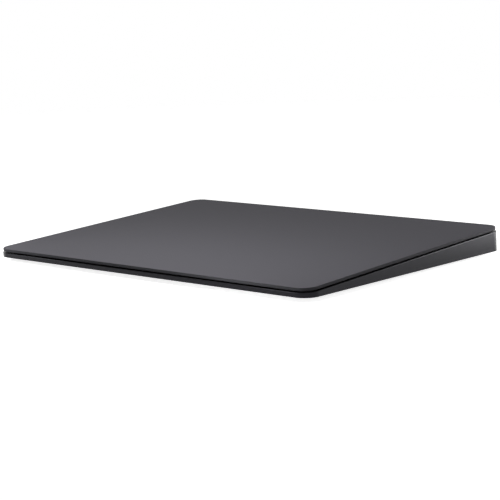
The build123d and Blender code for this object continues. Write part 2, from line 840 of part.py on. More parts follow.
with BuildPart() as switch_on_marker:
    with BuildSketch(rear.offset(-flange_front)):
        with Locations((marker_x, 0)):
            Rectangle(marker_length, slider_height)
    extrude(amount=-marker_thickness)
save(switch_on_marker, "switch_on_marker")

with BuildPart() as switch_nub:
    with BuildSketch(rear.offset(-flange_back)):
        with Locations((slider_rest, 0)):
            Rectangle(nub_length, nub_height)
    extrude(amount=flange_back - carrier_back - nub_reach)
save(switch_nub, "switch_nub")

with BuildPart() as switch_carrier:
    with BuildSketch(rear.offset(-wall)):
        with Locations((-switch_x, 0)):
            Rectangle(carrier_inner_length + 2 * carrier_wall, carrier_inner_height + 2 * carrier_wall)
    extrude(amount=wall - carrier_back)
    with BuildSketch(rear.offset(-wall)):
        with Locations((-switch_x, 0)):
            Rectangle(carrier_inner_length, carrier_inner_height)
    extrude(amount=wall - carrier_inner_back, mode=Mode.SUBTRACT)
    with BuildSketch(rear.offset(-carrier_inner_back)):
        with Locations((-switch_x, 0)):
            Rectangle(nub_slot_length, nub_slot_height)
    extrude(amount=-carrier_wall, mode=Mode.SUBTRACT)
save(switch_carrier, "switch_carrier")

with BuildPart() as switch_body:
    with BuildSketch(rear.offset(-carrier_back)):
        with Locations((-switch_x, 0)):
            Rectangle(switch_body_length, switch_body_height)
    extrude(amount=-switch_body_depth)
    with BuildSketch(rear.offset(-carrier_back)):
        with Locations((-switch_x, 0)):
            Rectangle(nub_slot_length, nub_slot_height)
    extrude(amount=-nub_reach - nub_clearance, mode=Mode.SUBTRACT)
save(switch_body, "switch_body")

# Flat ribbons along the floor, from the force gauges to the logic board
for side, sx in (("left", -1), ("right", 1)):
    plug_x, plug_y = plug_points[f"gauge_{side}"]
    with BuildPart() as gauge_ribbon:
        with BuildSketch(floor_plane):
            with BuildLine():
                FilletPolyline(
                    (sx * leaf_root_x, ribbon_rear_y),
                    (sx * leaf_root_x, gauge_lane_y),
                    (plug_x, gauge_lane_y),
                    (plug_x, plug_y),
                    radius=ribbon_bend_radius,
                )
            trace(line_width=ribbon_width)
            with Locations((sx * leaf_root_x, ribbon_front_y)):
                Rectangle(ribbon_width, ribbon_branch_length, align=(Align.CENTER, Align.MIN))
        extrude(amount=ribbon_thickness)
    save(gauge_ribbon, f"gauge_ribbon_{side}")

# Ribbons that drop from the charging port and from the switch, then run along the floor
with BuildPart() as port_ribbon:
    with BuildSketch(floor_plane):
        with BuildLine():
            FilletPolyline(
                (-ribbon_width, port_lane_y),
                (plug_points["port"][0], port_lane_y),
                plug_points["port"],
                radius=ribbon_bend_radius,
            )
        trace(line_width=ribbon_width)
    extrude(amount=ribbon_thickness)
    with BuildSketch(rear.offset(-wall - port_body_length)):
        Rectangle(2 * ribbon_width, rear_height, align=(Align.CENTER, Align.MAX))
    extrude(amount=-ribbon_thickness)
    split(bisect_by=floor_plane, keep=Keep.TOP)
save(port_ribbon, "port_ribbon")

with BuildPart() as switch_ribbon:
    with BuildSketch(floor_plane):
        with BuildLine():
            Line((switch_x, switch_ribbon_y), plug_points["switch"])
        trace(line_width=ribbon_width)
    extrude(amount=ribbon_thickness)
    with BuildSketch(rear.offset(-carrier_back - switch_body_depth)):
        with Locations((-switch_x, 0)):
            Rectangle(ribbon_width, rear_height, align=(Align.CENTER, Align.MAX))
    extrude(amount=-ribbon_thickness)
    split(bisect_by=floor_plane, keep=Keep.TOP)
save(switch_ribbon, "switch_ribbon")

# Folded ribbon between the moving sensor board and the logic board
with BuildPart() as touch_ribbon:
    with BuildSketch(Plane.YZ.offset(touch_x - touch_ribbon_width / 2)):
        with BuildLine():
            FilletPolyline(*touch_ribbon_points, radius=touch_fold_height * touch_ribbon_bend_share)
        trace(line_width=ribbon_thickness)
    extrude(amount=touch_ribbon_width)
save(touch_ribbon, "touch_ribbon")
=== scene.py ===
import bmesh
import bpy
import json
import math
import random
from mathutils import Matrix, Vector
from mathutils.bvhtree import BVHTree


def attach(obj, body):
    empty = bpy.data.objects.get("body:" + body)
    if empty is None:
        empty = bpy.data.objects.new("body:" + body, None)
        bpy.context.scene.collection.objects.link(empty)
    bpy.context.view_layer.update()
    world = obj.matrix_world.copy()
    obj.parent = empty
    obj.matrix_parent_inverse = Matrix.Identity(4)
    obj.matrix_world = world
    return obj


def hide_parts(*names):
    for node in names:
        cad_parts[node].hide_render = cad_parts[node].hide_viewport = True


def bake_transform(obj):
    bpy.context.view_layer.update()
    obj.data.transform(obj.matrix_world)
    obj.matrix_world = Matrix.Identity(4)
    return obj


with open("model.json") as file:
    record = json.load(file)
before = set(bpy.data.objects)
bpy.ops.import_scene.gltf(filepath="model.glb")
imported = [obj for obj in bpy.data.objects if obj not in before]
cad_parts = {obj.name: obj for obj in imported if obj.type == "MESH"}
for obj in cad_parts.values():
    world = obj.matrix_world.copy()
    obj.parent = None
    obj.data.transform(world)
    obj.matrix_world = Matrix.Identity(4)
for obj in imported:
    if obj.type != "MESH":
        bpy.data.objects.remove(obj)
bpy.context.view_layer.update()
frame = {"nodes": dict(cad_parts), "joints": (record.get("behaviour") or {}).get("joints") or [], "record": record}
nodes = frame["nodes"]
mm = 0.001
print("frame loaded:", len(nodes), "nodes")

# the deck is the sloping plane of the glass: the plate is pressed straight into it
pressAxis = next(Vector(j["axis"]) for j in frame["joints"] if j["name"] == "press")
deckSlope = math.atan2(pressAxis.y, -pressAxis.z)


# camera

cameraView = {
    "azimuth": 42.606,       # degrees from the front towards the right
    "elevation": 9.650,
    "roll": -1.928,
    "distance": 606.8 * mm,
    "focalPixels": 1566.6,   # focal length in pixels of the 500 pixel picture
    "pictureWidth": 500,
    "centreColumn": 245.3,   # where the optical axis meets the picture
    "centreRow": 257.0,
    "sensorWidth": 36,
    "nearest": 0.01,         # what lies nearer or farther than these isn't drawn
    "farthest": 100,
}


def placeCamera(view):
    azimuth = math.radians(view["azimuth"])
    elevation = math.radians(view["elevation"])
    roll = math.radians(view["roll"])
    back = Vector((
        math.sin(azimuth) * math.cos(elevation),
        -math.cos(azimuth) * math.cos(elevation),
        math.sin(elevation),
    ))
    level = Vector((math.cos(azimuth), math.sin(azimuth), 0))
    upright = back.cross(level)
    right = math.cos(roll) * level + math.sin(roll) * upright
    up = back.cross(right)
    data = bpy.data.cameras.new("photoCamera")
    data.sensor_width = view["sensorWidth"]
    data.lens = view["focalPixels"] * view["sensorWidth"] / view["pictureWidth"]
    data.shift_x = 0.5 - view["centreColumn"] / view["pictureWidth"]
    data.shift_y = view["centreRow"] / view["pictureWidth"] - 0.5
    data.clip_start = view["nearest"]
    data.clip_end = view["farthest"]
    camera = bpy.data.objects.new("photoCamera", data)
    turn = Matrix((right, up, back)).transposed().to_4x4()
    camera.matrix_world = Matrix.Translation(back * view["distance"]) @ turn
    bpy.context.scene.collection.objects.link(camera)
    bpy.context.scene.camera = camera


placeCamera(cameraView)
print("camera placed")


# small helpers for node trees

def addNode(tree, kind, **settings):
    node = tree.nodes.new(kind)
    for key, value in settings.items():
        if hasattr(node, key):
            setattr(node, key, value)
        else:
            node.inputs[key].default_value = value
    return node


def plug(tree, socket, value):
    # a link where the value comes from another node, and otherwise a plain number
    if isinstance(value, bpy.types.NodeSocket):
        tree.links.new(value, socket)
    else:
        socket.default_value = value


def addMath(tree, operation, *values):
    node = addNode(tree, "ShaderNodeMath", operation=operation)
    for socket, value in zip(node.inputs, values):
        plug(tree, socket, value)
    return node.outputs[0]


def addVectorMath(tree, operation, *values):
    node = addNode(tree, "ShaderNodeVectorMath", operation=operation)
    for socket, value in zip(node.inputs, values):
        plug(tree, socket, value)
    return node.outputs["Value" if operation in ("LENGTH", "DOT_PRODUCT", "DISTANCE") else "Vector"]


def addRange(tree, value, low, high, newLow=0.0, newHigh=1.0, smooth=False):
    node = addNode(tree, "ShaderNodeMapRange", interpolation_type="SMOOTHSTEP" if smooth else "LINEAR")
    for label, number in (
        ("Value", value), ("From Min", low), ("From Max", high), ("To Min", newLow), ("To Max", newHigh)
    ):
        plug(tree, node.inputs[label], number)
    return node.outputs["Result"]


def mixColour(tree, factor, first, second, blend="MIX"):
    node = addNode(tree, "ShaderNodeMix", data_type="RGBA", blend_type=blend)
    for label, value in (("Factor", factor), ("A", first), ("B", second)):
        plug(tree, node.inputs[label], (*value, 1) if isinstance(value, tuple) else value)
    return node.outputs["Result"]


def newGroup(name, inputs, outputs, kind="ShaderNodeTree", outputType="NodeSocketFloat"):
    # an input is given by its starting value, or by the name of its type where it has none
    group = bpy.data.node_groups.new(name, kind)
    typeOf = {int: "NodeSocketInt", float: "NodeSocketFloat", tuple: "NodeSocketVector"}
    for label, value in inputs.items():
        named = isinstance(value, str)
        socketType = value if named else typeOf[type(value)]
        socket = group.interface.new_socket(name=label, in_out="INPUT", socket_type=socketType)
        if not named:
            socket.default_value = value
    for label in outputs:
        group.interface.new_socket(name=label, in_out="OUTPUT", socket_type=outputType)
    enter = group.nodes.new("NodeGroupInput").outputs
    leave = group.nodes.new("NodeGroupOutput").inputs
    return group, enter, leave


def useGroup(tree, group, values):
    node = addNode(tree, "ShaderNodeGroup")
    node.node_tree = group
    for label, value in values.items():
        plug(tree, node.inputs[label], value)
    return node.outputs


# effects that several materials share

def buildGrainGroup():
    # fine noise for the height, and a broad drift that shades colour and roughness
    group, enter, leave = newGroup("surfaceGrain", {
        "Vector": (0.0, 0.0, 0.0),
        "Grain Scale": 4000.0,
        "Drift Scale": 25.0,
        "Drift Amount": 0.1,
    }, ("Height", "Drift"))
    grain = addNode(group, "ShaderNodeTexNoise", Detail=3.0, Roughness=0.6)
    drift = addNode(group, "ShaderNodeTexNoise", Detail=2.0)
    for node, label in ((grain, "Grain Scale"), (drift, "Drift Scale")):
        plug(group, node.inputs["Vector"], enter["Vector"])
        plug(group, node.inputs["Scale"], enter[label])
    offset = addMath(group, "SUBTRACT", drift.outputs["Fac"], 0.5)
    plug(group, leave["Height"], grain.outputs["Fac"])
    plug(group, leave["Drift"], addMath(group, "MULTIPLY_ADD", offset, enter["Drift Amount"], 1.0))
    return group


def buildStreakGroup():
    # noise drawn out along one direction, as brushing, rolling or drawing leaves it
    group, enter, leave = newGroup("drawnStreaks", {
        "Vector": (0.0, 0.0, 0.0),
        "Stretch": (60.0, 3000.0, 3000.0),
        "Amount": 0.2,
    }, ("Height", "Shade"))
    noise = addNode(group, "ShaderNodeTexNoise", Scale=1.0, Detail=4.0, Roughness=0.7)
    plug(group, noise.inputs["Vector"], addVectorMath(group, "MULTIPLY", enter["Vector"], enter["Stretch"]))
    offset = addMath(group, "SUBTRACT", noise.outputs["Fac"], 0.5)
    plug(group, leave["Height"], noise.outputs["Fac"])
    plug(group, leave["Shade"], addMath(group, "MULTIPLY_ADD", offset, enter["Amount"], 1.0))
    return group


def buildEdgeGroup():
    # 1 along sharp edges and 0 on flat faces, broken up by noise, from a bevelled normal
    group, enter, leave = newGroup("edgeWear", {
        "Normal": (0.0, 0.0, 0.0),
        "Bevelled": (0.0, 0.0, 0.0),
        "Vector": (0.0, 0.0, 0.0),
        "Flat Cosine": 0.98,
        "Edge Cosine": 0.80,
        "Breakup Scale": 900.0,
        "Breakup Low": 0.35,
        "Breakup High": 0.6,
        "Least Wear": 0.3,
    }, ("Wear",))
    cosine = addVectorMath(group, "DOT_PRODUCT", enter["Normal"], enter["Bevelled"])
    edge = addRange(group, cosine, enter["Flat Cosine"], enter["Edge Cosine"])
    noise = addNode(group, "ShaderNodeTexNoise", Detail=3.0)
    plug(group, noise.inputs["Vector"], enter["Vector"])
    plug(group, noise.inputs["Scale"], enter["Breakup Scale"])
    breakup = addRange(
        group, noise.outputs["Fac"], enter["Breakup Low"], enter["Breakup High"], enter["Least Wear"], 1.0
    )
    plug(group, leave["Wear"], addMath(group, "MULTIPLY", edge, breakup))
    return group


def buildTrackGroup():
    # printed tracks: every cell carries two diagonal runs, turned at random, and some cells a round pad
    group, enter, leave = newGroup("boardTracks", {
        "Vector": (0.0, 0.0, 0.0),
        "Cells": 900.0,
        "Track Width": 0.12,
        "Softness": 0.05,
        "Pad Radius": 0.2,
        "Cells Without Pad": 0.82,
    }, ("Track", "Pad"))
    scaled = addVectorMath(group, "SCALE", enter["Vector"])
    plug(group, scaled.node.inputs["Scale"], enter["Cells"])
    flat = addVectorMath(group, "MULTIPLY", scaled, (1, 1, 0))
    cell = addVectorMath(group, "FLOOR", flat)
    inCell = addVectorMath(group, "SUBTRACT", flat, cell)
    local = addNode(group, "ShaderNodeSeparateXYZ")
    plug(group, local.inputs[0], inCell)
    chance = addNode(group, "ShaderNodeTexWhiteNoise", noise_dimensions="3D")
    plug(group, chance.inputs["Vector"], cell)
    turned = addMath(group, "GREATER_THAN", chance.outputs["Value"], 0.5)
    side = addMath(group, "ABSOLUTE", addMath(group, "SUBTRACT", local.outputs["X"], turned))
    run = addMath(group, "FRACT", addMath(group, "ADD", side, local.outputs["Y"]))
    off = addMath(group, "ABSOLUTE", addMath(group, "SUBTRACT", run, 0.5))
    half = addMath(group, "MULTIPLY", enter["Track Width"], 0.5)
    outer = addMath(group, "ADD", half, enter["Softness"])
    plug(group, leave["Track"], addRange(group, off, outer, half))
    radius = addVectorMath(group, "LENGTH", addVectorMath(group, "SUBTRACT", inCell, (0.5, 0.5, 0)))
    rare = addMath(group, "GREATER_THAN", chance.outputs["Value"], enter["Cells Without Pad"])
    inside = addMath(group, "LESS_THAN", radius, enter["Pad Radius"])
    plug(group, leave["Pad"], addMath(group, "MULTIPLY", rare, inside))
    return group


def buildHatchGroup():
    # two sets of diagonal lines, as on a shielded flat cable or an electrode grid
    group, enter, leave = newGroup("crossHatch", {
        "Vector": (0.0, 0.0, 0.0),
        "Lines": 1500.0,
        "Line Width": 0.3,
        "Softness": 0.06,
    }, ("Line",))
    parts = addNode(group, "ShaderNodeSeparateXYZ")
    plug(group, parts.inputs[0], enter["Vector"])
    masks = []
    for operation in ("ADD", "SUBTRACT"):
        across = addMath(group, operation, parts.outputs["X"], parts.outputs["Y"])
        phase = addMath(group, "FRACT", addMath(group, "MULTIPLY", across, enter["Lines"]))
        off = addMath(group, "ABSOLUTE", addMath(group, "SUBTRACT", phase, 0.5))
        half = addMath(group, "MULTIPLY", enter["Line Width"], 0.5)
        masks.append(addRange(group, off, addMath(group, "ADD", half, enter["Softness"]), half))
    plug(group, leave["Line"], addMath(group, "MAXIMUM", *masks))
    return group


def buildCellGroup():
    # open cells: pits inside thin walls
    group, enter, leave = newGroup("openCells", {
        "Vector": (0.0, 0.0, 0.0),
        "Cell Scale": 3000.0,
        "Wall Width": 0.18,
    }, ("Wall",))
    edge = addNode(group, "ShaderNodeTexVoronoi", feature="DISTANCE_TO_EDGE")
    plug(group, edge.inputs["Vector"], enter["Vector"])
    plug(group, edge.inputs["Scale"], enter["Cell Scale"])
    wall = addRange(group, edge.outputs["Distance"], enter["Wall Width"], 0.0, smooth=True)
    plug(group, leave["Wall"], wall)
    return group


grainGroup = buildGrainGroup()
streakGroup = buildStreakGroup()
edgeGroup = buildEdgeGroup()
trackGroup = buildTrackGroup()
hatchGroup = buildHatchGroup()
cellGroup = buildCellGroup()
print("shared effects built")


# materials: each finish starts from its own colour, roughness and grain

def newMaterial(name, finish):
    material = bpy.data.materials.new(name)
    material.use_nodes = True
    tree = material.node_tree
    shader = tree.nodes["Principled BSDF"]
    shader.inputs["Base Color"].default_value = (*finish["colour"], 1)
    shader.inputs["Roughness"].default_value = finish["roughness"]
    shader.inputs["Metallic"].default_value = finish.get("metallic", 0.0)
    shader.inputs["Specular IOR Level"].default_value = finish.get("specular", 0.5)
    shader.inputs["Coat Weight"].default_value = finish.get("coat", 0.0)
    shader.inputs["Transmission Weight"].default_value = finish.get("transmission", 0.0)
    place = tree.nodes.new("ShaderNodeTexCoord")
    return material, tree, shader, place.outputs["Object"]


def finishSurface(tree, shader, vector, finish, colour=None, height=None):
    # the colour and the height may come from a pattern, and the grain, streaks and wear go over it
    grain = useGroup(tree, grainGroup, {
        "Vector": vector,
        "Grain Scale": finish["grainScale"],
        "Drift Scale": finish.get("driftScale", 30.0),
        "Drift Amount": finish.get("drift", 0.1),
    })
    colour = mixColour(tree, 1.0, colour or finish["colour"], grain["Drift"], "MULTIPLY")
    roughness = addMath(tree, "MULTIPLY", grain["Drift"], finish["roughness"])
    relief = addMath(tree, "MULTIPLY", grain["Height"], finish["grain"])
    if height:
        relief = addMath(tree, "ADD", relief, height)
    if "stretch" in finish:
        streak = useGroup(tree, streakGroup, {
            "Vector": vector, "Stretch": finish["stretch"], "Amount": finish["streak"]
        })
        colour = mixColour(tree, 1.0, colour, streak["Shade"], "MULTIPLY")
        roughness = addMath(tree, "MULTIPLY", roughness, streak["Shade"])
        relief = addMath(tree, "MULTIPLY_ADD", streak["Height"], finish["streak"], relief)
    if "edgeRadius" in finish:
        bevel = addNode(tree, "ShaderNodeBevel", samples=4, Radius=finish["edgeRadius"])
        flat = tree.nodes.new("ShaderNodeNewGeometry")
        wear = useGroup(tree, edgeGroup, {
            "Normal": flat.outputs["Normal"],
            "Bevelled": bevel.outputs["Normal"],
            "Vector": vector,
            "Breakup Scale": finish.get("breakup", 900.0),
        })["Wear"]
        amount = addMath(tree, "MULTIPLY", wear, finish["edge"])
        colour = mixColour(tree, amount, colour, finish["edgeColour"])
    bump = addNode(tree, "ShaderNodeBump", Strength=finish.get("bump", 0.3), Distance=finish["depth"])
    plug(tree, bump.inputs["Height"], relief)
    plug(tree, shader.inputs["Base Color"], colour)
    plug(tree, shader.inputs["Roughness"], roughness)
    plug(tree, shader.inputs["Normal"], bump.outputs["Normal"])


def makePlain(name, finish):
    material, tree, shader, vector = newMaterial(name, finish)
    finishSurface(tree, shader, vector, finish)
    return material


glassFinish = {
    "colour": (0.0738, 0.0716, 0.0818), "roughness": 0.5, "specular": 0.01,
    # the side colour is painted shade on the ground sides
    "sideShadeColour": (0.046, 0.0455, 0.050), "sideCosine": 0.55, "faceCosine": 0.95,
    "grainScale": 5000, "grain": 1.0, "driftScale": 18, "drift": 0.04, "bump": 0.2, "depth": 0.01 * mm,
}


def makeGlass(finish):
    # the etched face ends at the ground sides, which take a darker colour as painted shade
    material, tree, shader, vector = newMaterial("etchedGlass", finish)
    flat = tree.nodes.new("ShaderNodeNewGeometry")
    facing = addVectorMath(tree, "DOT_PRODUCT", flat.outputs["Normal"], tuple(-pressAxis))
    face = addRange(tree, facing, finish["sideCosine"], finish["faceCosine"], smooth=True)
    # painted shade: the sides facing away from the deck take a darker colour than the etched top
    colour = mixColour(tree, face, finish["sideShadeColour"], finish["colour"])
    finishSurface(tree, shader, vector, finish, colour)
    return material


shellFinish = {
    "colour": (0.0123, 0.0121, 0.0140), "roughness": 0.27, "metallic": 1.0,
    "grainScale": 6500, "grain": 1.0, "driftScale": 30, "drift": 0.06, "bump": 0.25, "depth": 0.01 * mm,
    "edgeRadius": 0.12 * mm, "edge": 0.35, "edgeColour": (0.020, 0.020, 0.022),
}
coverFinish = {
    "colour": (0.040, 0.040, 0.043), "roughness": 0.55,
    "grainScale": 2600, "grain": 1.0, "driftScale": 22, "drift": 0.10, "bump": 0.5, "depth": 0.03 * mm,
}
rubberFinish = {
    "colour": (0.030, 0.030, 0.031), "roughness": 0.78, "specular": 0.3,
    "grainScale": 3500, "grain": 1.0, "driftScale": 140, "drift": 0.25, "bump": 0.6, "depth": 0.03 * mm,
}
springFinish = {
    "colour": (0.52, 0.52, 0.53), "roughness": 0.26, "metallic": 1.0,
    "grainScale": 5000, "grain": 0.2, "drift": 0.08, "bump": 0.3, "depth": 0.01 * mm,
    "stretch": (80, 6000, 6000), "streak": 0.35,
    "edgeRadius": 0.08 * mm, "edge": 0.5, "edgeColour": (0.75, 0.75, 0.76),
}
zincFinish = {
    "colour": (0.56, 0.58, 0.62), "roughness": 0.32, "metallic": 1.0,
    "grainScale": 4000, "grain": 0.4, "driftScale": 260, "drift": 0.18, "bump": 0.3, "depth": 0.008 * mm,
    "edgeRadius": 0.06 * mm, "edge": 0.5, "edgeColour": (0.80, 0.80, 0.81),
}
nickelFinish = {
    "colour": (0.62, 0.59, 0.54), "roughness": 0.24, "metallic": 1.0,
    "grainScale": 3000, "grain": 0.3, "driftScale": 90, "drift": 0.14, "bump": 0.25, "depth": 0.008 * mm,
    "stretch": (2500, 120, 2500), "streak": 0.15,
    "edgeRadius": 0.06 * mm, "edge": 0.4, "edgeColour": (0.80, 0.78, 0.74),
}
copperFinish = {
    "colour": (0.62, 0.25, 0.12), "roughness": 0.30, "metallic": 1.0, "coat": 0.5,
    "grainScale": 5000, "grain": 0.4, "driftScale": 300, "drift": 0.22, "bump": 0.2, "depth": 0.006 * mm,
}
goldFinish = {
    "colour": (0.86, 0.62, 0.25), "roughness": 0.22, "metallic": 1.0,
    "grainScale": 6000, "grain": 0.3, "driftScale": 500, "drift": 0.15, "bump": 0.2, "depth": 0.005 * mm,
    "edgeRadius": 0.05 * mm, "edge": 0.4, "edgeColour": (0.72, 0.68, 0.60),
}
plasticFinish = {
    "colour": (0.022, 0.022, 0.024), "roughness": 0.42,
    "grainScale": 4500, "grain": 1.0, "driftScale": 120, "drift": 0.12, "bump": 0.35, "depth": 0.01 * mm,
}
resinFinish = {
    "colour": (0.020, 0.020, 0.021), "roughness": 0.60, "specular": 0.4,
    "grainScale": 7000, "grain": 1.0, "driftScale": 400, "drift": 0.30, "bump": 0.6, "depth": 0.01 * mm,
}
ceramicFinish = {
    "colour": (0.68, 0.66, 0.60), "roughness": 0.38,
    "grainScale": 5000, "grain": 1.0, "driftScale": 250, "drift": 0.10, "bump": 0.3, "depth": 0.008 * mm,
}
paintFinish = {
    "colour": (0.02, 0.36, 0.10), "roughness": 0.35,
    "grainScale": 1800, "grain": 1.0, "driftScale": 600, "drift": 0.12, "bump": 0.3, "depth": 0.01 * mm,
}
gelFinish = {
    "colour": (0.55, 0.60, 0.66), "roughness": 0.30, "transmission": 0.35,
    "grainScale": 1500, "grain": 1.0, "driftScale": 300, "drift": 0.12, "bump": 0.4, "depth": 0.02 * mm,
}

foamFinish = {
    "colour": (0.045, 0.045, 0.048), "roughness": 0.9, "specular": 0.2,
    # the pit and wall factors paint shade into the cell pits and a highlight onto the cell walls
    "cellScale": 3200, "paintedPitShade": 0.6, "paintedWallHighlight": 1.8,
    "grainScale": 9000, "grain": 0.3, "driftScale": 60, "drift": 0.15, "bump": 0.8, "depth": 0.06 * mm,
}


def makeFoam(finish):
    material, tree, shader, vector = newMaterial("gasketFoam", finish)
    cells = useGroup(tree, cellGroup, {"Vector": vector, "Cell Scale": finish["cellScale"]})
    # painted shade and highlight: the colour is darker in the cell pits and lighter on the cell walls
    shade = addRange(tree, cells["Wall"], 0.0, 1.0, finish["paintedPitShade"], finish["paintedWallHighlight"])
    colour = mixColour(tree, 1.0, finish["colour"], shade, "MULTIPLY")
    finishSurface(tree, shader, vector, finish, colour, cells["Wall"])
    return material


tapeFinish = {
    "colour": (0.20, 0.19, 0.17), "roughness": 0.5,
    "grainScale": 5000, "grain": 0.4, "driftScale": 90, "drift": 0.25, "bump": 0.5, "depth": 0.02 * mm,
    "stretch": (1400, 160, 1400), "streak": 0.45,   # the fibres of its tissue
}
foilFinish = {
    "colour": (0.50, 0.50, 0.51), "roughness": 0.34, "metallic": 0.85, "wrinkleScale": 110, "wrinkle": 3.0,
    "grainScale": 2500, "grain": 0.3, "driftScale": 40, "drift": 0.12, "bump": 0.5, "depth": 0.05 * mm,
}


def makeCellFoil(finish):
    # long soft wrinkles, warped by a second noise
    material, tree, shader, vector = newMaterial("cellFoil", finish)
    warp = addNode(tree, "ShaderNodeTexNoise", Scale=finish["wrinkleScale"], Detail=2.0, Distortion=1.5)
    plug(tree, warp.inputs["Vector"], vector)
    ridge = addMath(tree, "ABSOLUTE", addMath(tree, "SUBTRACT", warp.outputs["Fac"], 0.5))
    wrinkle = addMath(tree, "MULTIPLY", ridge, finish["wrinkle"])
    finishSurface(tree, shader, vector, finish, height=wrinkle)
    return material


boardFinish = {
    "colour": (0.006, 0.055, 0.026), "roughness": 0.36,
    "trackColour": (0.014, 0.110, 0.050), "padColour": (0.80, 0.58, 0.25), "cells": 1100,
    "grainScale": 3000, "grain": 0.3, "driftScale": 60, "drift": 0.10, "bump": 0.5, "depth": 0.03 * mm,
}
gridFinish = {
    "colour": (0.007, 0.008, 0.008), "roughness": 0.40,
    "lineColour": (0.040, 0.032, 0.022), "lines": 200, "lineWidth": 0.72,
    "grainScale": 3000, "grain": 0.3, "driftScale": 40, "drift": 0.10, "bump": 0.4, "depth": 0.02 * mm,
}
ribbonFinish = {
    "colour": (0.30, 0.105, 0.012), "roughness": 0.32, "coat": 0.3,
    "lineColour": (0.55, 0.26, 0.09), "lines": 1100, "lineWidth": 0.34,
    "grainScale": 4000, "grain": 0.4, "driftScale": 80, "drift": 0.15, "bump": 0.4, "depth": 0.01 * mm,
}


def makeCircuitBoard(finish):
    # raised tracks under the mask, and bare gold pads
    material, tree, shader, vector = newMaterial("circuitBoard", finish)
    copper = useGroup(tree, trackGroup, {"Vector": vector, "Cells": finish["cells"]})
    masked = mixColour(tree, copper["Track"], finish["colour"], finish["trackColour"])
    colour = mixColour(tree, copper["Pad"], masked, finish["padColour"])
    finishSurface(tree, shader, vector, finish, colour, copper["Track"])
    plug(tree, shader.inputs["Metallic"], copper["Pad"])
    return material


def makeHatched(name, finish):
    material, tree, shader, vector = newMaterial(name, finish)
    hatch = useGroup(tree, hatchGroup, {
        "Vector": vector, "Lines": finish["lines"], "Line Width": finish["lineWidth"]
    })
    colour = mixColour(tree, hatch["Line"], finish["colour"], finish["lineColour"])
    finishSurface(tree, shader, vector, finish, colour, hatch["Line"])
    return material


materials = {
    "glass_top": makeGlass(glassFinish),
    "anodised_shell": makePlain("anodisedShell", shellFinish),
    "cover_plastic": makePlain("mouldedCover", coverFinish),
    "foot_rubber": makePlain("footRubber", rubberFinish),
    "foam": makeFoam(foamFinish),
    "adhesive": makePlain("tissueTape", tapeFinish),
    "gel": makePlain("softGel", gelFinish),
    "board_green": makeCircuitBoard(boardFinish),
    "spring_steel": makePlain("springSteel", springFinish),
    "zinc_steel": makePlain("zincPlate", zincFinish),
    "nickel": makePlain("nickelPlate", nickelFinish),
    "copper": makePlain("enamelledCopper", copperFinish),
    "gold_contact": makePlain("goldPlate", goldFinish),
    "cell_foil": makeCellFoil(foilFinish),
    "polyimide": makeHatched("flatCable", ribbonFinish),
    "black_plastic": makePlain("blackPlastic", plasticFinish),
    "chip_resin": makePlain("chipResin", resinFinish),
    "white_ceramic": makePlain("whiteCeramic", ceramicFinish),
    "green_paint": makePlain("greenPaint", paintFinish),
}
electrodeGrid = makeHatched("electrodeGrid", gridFinish)
print("materials built:", len(materials) + 1)


# every node takes the material of its slot, and the sensor board its electrode grid

slotOf = {part["node"]: part["material_slot"] for part in frame["record"]["subparts"]}
for node, slot in slotOf.items():
    for place in nodes[node].material_slots:
        place.material = electrodeGrid if node == "sensor_board" else materials[slot]
print("materials assigned")


# small repeated pieces: Geometry Nodes make them in millimetres, in a frame turned about X

weldDistance = 0.0001   # corners nearer than this become one, in mm


def addGeometry(tree, kind, inputs, **settings):
    node = addNode(tree, "GeometryNode" + kind, **settings)
    for label, value in inputs.items():
        plug(tree, node.inputs[label], value)
    return node.outputs[0]


def joinGeometry(tree, *parts):
    node = addNode(tree, "GeometryNodeJoinGeometry")
    for part in parts:
        tree.links.new(part, node.inputs[0])
    return node.outputs[0]


def makeVector(tree, *values):
    node = addNode(tree, "ShaderNodeCombineXYZ")
    for socket, value in zip(node.inputs, values):
        plug(tree, socket, value)
    return node.outputs[0]


def readPlace(tree):
    # the position of every vertex, as three numbers
    parts = addNode(tree, "ShaderNodeSeparateXYZ")
    plug(tree, parts.inputs[0], addNode(tree, "GeometryNodeInputPosition").outputs[0])
    return parts.outputs["X"], parts.outputs["Y"], parts.outputs["Z"]


def roundShading(tree, part, sharpAngle=0.6):
    # smooth faces, with edges left sharp where they turn further than the angle, in radians
    angle = addNode(tree, "GeometryNodeInputMeshEdgeAngle").outputs[0]
    sharp = addMath(tree, "GREATER_THAN", angle, sharpAngle)
    smooth = addGeometry(tree, "SetShadeSmooth", {"Geometry": part, "Shade Smooth": True}, domain="FACE")
    return addGeometry(tree, "SetShadeSmooth", {
        "Geometry": smooth, "Selection": sharp, "Shade Smooth": False
    }, domain="EDGE")


def newPieceTree(name, sizes):
    inputs = {"Points": "NodeSocketGeometry", **sizes, "Tilt": 0.0, "Material": "NodeSocketMaterial"}
    return newGroup(name, inputs, ("Geometry",), "GeometryNodeTree", "NodeSocketGeometry")


def closeSheet(tree, sheet, height):
    # a flat or bent sheet becomes a closed solid with an even height
    raised = addGeometry(tree, "ExtrudeMesh", {
        "Mesh": sheet, "Offset": (0, 0, 1), "Offset Scale": height, "Individual": False
    })
    under = addGeometry(tree, "FlipFaces", {"Mesh": sheet})
    return addGeometry(tree, "MergeByDistance", {
        "Geometry": joinGeometry(tree, raised, under), "Distance": weldDistance
    })


